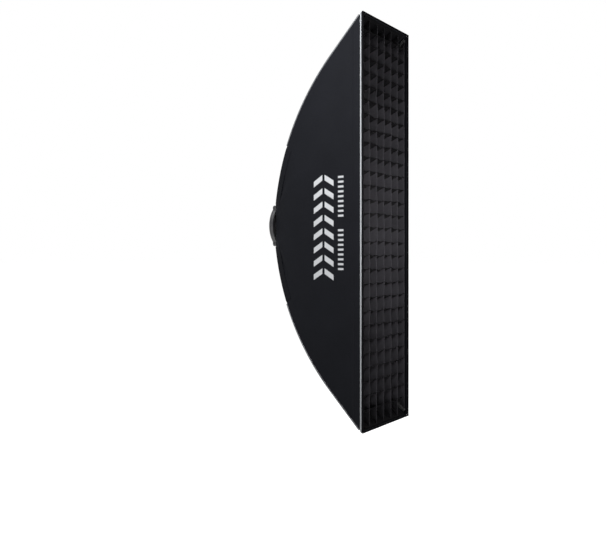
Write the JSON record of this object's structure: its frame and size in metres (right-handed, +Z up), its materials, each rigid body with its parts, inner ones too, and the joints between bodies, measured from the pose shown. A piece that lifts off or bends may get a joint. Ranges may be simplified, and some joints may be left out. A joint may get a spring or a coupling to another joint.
{
  "type": "strip softbox",
  "caption": "Tall narrow softbox: black cloth shell with silver piping on bowed rods, folding speed ring with bayonet, white diffusers and a black cloth grid in front.",
  "frame": {"origin": "centre of the bayonet's seat face, where it meets the lamp", "axes": "+Z up along the tall side, -Y the way the light leaves, +Y towards the lamp, +X across the face"},
  "size_m": [0.3032, 0.391, 1.2008],
  "materials": {
    "bayonet_metal": "satin, machined",
    "ring_metal": "satin black powder coat",
    "steel_hardware": "satin",
    "knob_plastic": "matte, fluted",
    "socket_metal": "satin black",
    "spring_rod": "dark satin spring steel",
    "cap_rubber": "matte",
    "webbing": "ribbed webbing",
    "black_shell_cloth": "fine coated weave, slight sheen",
    "flap_cloth": "coated weave with stitched edge",
    "silver_lining": "reflective silver coating",
    "lip_cloth": "black binding tape",
    "silver_piping": "reflective silver-grey piping",
    "diffusion_cloth": "white translucent diffusion cloth",
    "elastic": "ribbed elastic",
    "hook_tape": "white hook tape",
    "grid_cloth": "matte black cloth strips"
  },
  "bodies": {
    "adapter": {"bayonet_adapter": "bayonet_metal"},
    "shell": {"speed_ring": "ring_metal", "retaining_ring": "ring_metal", "retaining_screws": "steel_hardware", "hinge_pins": "steel_hardware", "ball_plungers": "steel_hardware", "left_panel": "black_shell_cloth", "right_panel": "black_shell_cloth", "left_lining": "silver_lining", "right_lining": "silver_lining", "left_lip": "lip_cloth", "right_lip": "lip_cloth", "left_piping": "silver_piping", "right_piping": "silver_piping", "inner_baffle": "diffusion_cloth", "baffle_straps": "elastic"},
    "lock_knob": {"lock_knob": "knob_plastic", "lock_screw": "steel_hardware"},
    "diffuser": {"front_diffuser": "diffusion_cloth", "diffuser_side_tapes": "hook_tape"},
    "diffuser_top_edge": {"diffuser_top_tape": "hook_tape"},
    "diffuser_bottom_edge": {"diffuser_bottom_tape": "hook_tape"},
    "grid": {"grid_vertical_strips": "grid_cloth", "grid_horizontal_strips": "grid_cloth"},
    "grid_top_edge": {"grid_top_border": "grid_cloth"},
    "grid_bottom_edge": {"grid_bottom_border": "grid_cloth"},
    "upper_arms": {"top_panel": "black_shell_cloth", "top_lining": "silver_lining", "top_lip": "lip_cloth", "top_piping": "silver_piping", "upper_left_rod": "spring_rod", "upper_left_socket": "socket_metal", "upper_left_rod_cap": "cap_rubber", "upper_left_pocket": "webbing", "upper_left_piping": "silver_piping", "upper_left_flap": "flap_cloth", "upper_right_rod": "spring_rod", "upper_right_socket": "socket_metal", "upper_right_rod_cap": "cap_rubber", "upper_right_pocket": "webbing", "upper_right_piping": "silver_piping", "upper_right_flap": "flap_cloth"},
    "lower_arms": {"bottom_panel": "black_shell_cloth", "bottom_lining": "silver_lining", "bottom_lip": "lip_cloth", "bottom_piping": "silver_piping", "lower_left_rod": "spring_rod", "lower_left_socket": "socket_metal", "lower_left_rod_cap": "cap_rubber", "lower_left_pocket": "webbing", "lower_left_piping": "silver_piping", "lower_left_flap": "flap_cloth", "lower_right_rod": "spring_rod", "lower_right_socket": "socket_metal", "lower_right_rod_cap": "cap_rubber", "lower_right_pocket": "webbing", "lower_right_piping": "silver_piping", "lower_right_flap": "flap_cloth"}
  },
  "joints": [
    {"name": "ring_turn", "type": "hinge", "parent": "adapter", "child": "shell", "pos_m": [0, 0, 0], "axis": [0, 1, 0], "continuous": true},
    {"name": "lock_knob_turn", "type": "hinge", "parent": "shell", "child": "lock_knob", "pos_m": [0.077, -0.0085, 0], "axis": [1, 0, 0], "range_deg": [0, 360]},
    {"name": "arms_fold", "type": "hinge", "parent": "shell", "child": "upper_arms", "pos_m": [0, -0.026, 0.058], "axis": [1, 0, 0], "range_deg": [0, 45], "deforming": ["left_panel", "right_panel", "left_lining", "right_lining", "left_lip", "right_lip", "left_piping", "right_piping", "inner_baffle", "baffle_straps", "front_diffuser", "diffuser_side_tapes", "grid_vertical_strips", "grid_horizontal_strips"]},
    {"name": "lower_arms_fold", "type": "hinge", "parent": "shell", "child": "lower_arms", "pos_m": [0, -0.026, -0.058], "axis": [-1, 0, 0], "range_deg": [0, 45]},
    {"name": "diffuser_lift_off", "type": "slide", "parent": "shell", "child": "diffuser", "axis": [0, -1, 0], "range_m": [0, 0.14]},
    {"name": "diffuser_top_fold", "type": "hinge", "parent": "diffuser", "child": "diffuser_top_edge", "pos_m": [0, -0.026, 0.058], "axis": [1, 0, 0], "range_deg": [0, 45]},
    {"name": "diffuser_bottom_fold", "type": "hinge", "parent": "diffuser", "child": "diffuser_bottom_edge", "pos_m": [0, -0.026, -0.058], "axis": [-1, 0, 0], "range_deg": [0, 45]},
    {"name": "grid_lift_off", "type": "slide", "parent": "diffuser", "child": "grid", "axis": [0, -1, 0], "range_m": [0, 0.14]},
    {"name": "grid_top_fold", "type": "hinge", "parent": "grid", "child": "grid_top_edge", "pos_m": [0, -0.026, 0.058], "axis": [1, 0, 0], "range_deg": [0, 45]},
    {"name": "grid_bottom_fold", "type": "hinge", "parent": "grid", "child": "grid_bottom_edge", "pos_m": [0, -0.026, -0.058], "axis": [-1, 0, 0], "range_deg": [0, 45]}
  ],
  "couplings": [
    {"joint": "lower_arms_fold", "follows": "arms_fold", "ratio": 1},
    {"joint": "diffuser_top_fold", "follows": "arms_fold", "ratio": 1},
    {"joint": "diffuser_bottom_fold", "follows": "arms_fold", "ratio": 1},
    {"joint": "grid_top_fold", "follows": "arms_fold", "ratio": 1},
    {"joint": "grid_bottom_fold", "follows": "arms_fold", "ratio": 1}
  ]
}
